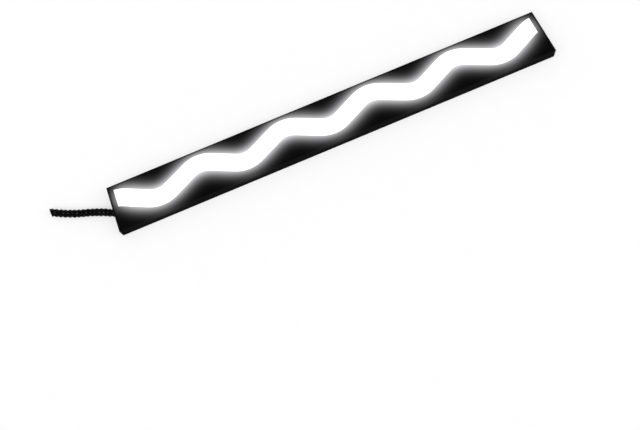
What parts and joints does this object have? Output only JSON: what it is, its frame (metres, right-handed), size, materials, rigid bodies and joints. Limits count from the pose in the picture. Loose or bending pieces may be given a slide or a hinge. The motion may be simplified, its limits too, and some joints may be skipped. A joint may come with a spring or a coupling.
{
  "type": "daytime running light",
  "caption": "Slim black bar lamp for a car: a wavy opal band glows white in its face, a short braided lead leaves one end, and foam tape on its back fixes it.",
  "frame": {"origin": "centre of the mounting tape's outer face", "axes": "+X along the bar away from its lead, +Y across the bar, +Z out of the lit face"},
  "size_m": [0.2624, 0.0282, 0.0074],
  "materials": {
    "black_cap": "black moulded plastic, satin",
    "opal_band": "opal plastic, lit from behind",
    "white_reflector": "white moulded plastic, matt",
    "white_board": "white coated circuit board",
    "led_package": "white package with a yellow dish",
    "resistor_body": "black chip with bright ends",
    "diode_body": "black moulding with bright tabs",
    "wire_cover": "black flexible wire cover, satin",
    "solder": "bright solder",
    "thermal_sheet": "soft grey-blue pad",
    "back_plate": "brushed sheet",
    "seal": "soft black rubber",
    "screw_steel": "zinc-plated steel",
    "foam_tape": "dark grey foam",
    "grommet_rubber": "black rubber"
  },
  "bodies": {
    "root": {"front_bezel": "black_cap", "wave_diffuser": "opal_band", "reflector": "white_reflector", "circuit_board": "white_board", "polarity_diode": "diode_body", "positive_wire": "wire_cover", "negative_wire": "wire_cover", "solder_joints": "solder", "thermal_pad": "thermal_sheet", "rear_plate": "back_plate", "rear_gasket": "seal", "rear_screws": "screw_steel", "mounting_tape": "foam_tape", "cable_grommet": "grommet_rubber", "power_lead": "wire_cover", "led_01": "led_package", "led_02": "led_package", "led_03": "led_package", "led_04": "led_package", "led_05": "led_package", "led_06": "led_package", "led_07": "led_package", "led_08": "led_package", "led_09": "led_package", "led_10": "led_package", "led_11": "led_package", "led_12": "led_package", "led_13": "led_package", "led_14": "led_package", "led_15": "led_package", "led_16": "led_package", "led_17": "led_package", "led_18": "led_package", "led_19": "led_package", "led_20": "led_package", "led_21": "led_package", "led_22": "led_package", "led_23": "led_package", "led_24": "led_package", "led_25": "led_package", "led_26": "led_package", "led_27": "led_package", "led_28": "led_package", "led_29": "led_package", "led_30": "led_package", "resistor_01": "resistor_body", "resistor_02": "resistor_body", "resistor_03": "resistor_body", "resistor_04": "resistor_body", "resistor_05": "resistor_body", "resistor_06": "resistor_body", "resistor_07": "resistor_body", "resistor_08": "resistor_body", "resistor_09": "resistor_body", "resistor_10": "resistor_body"}
  },
  "joints": []
}
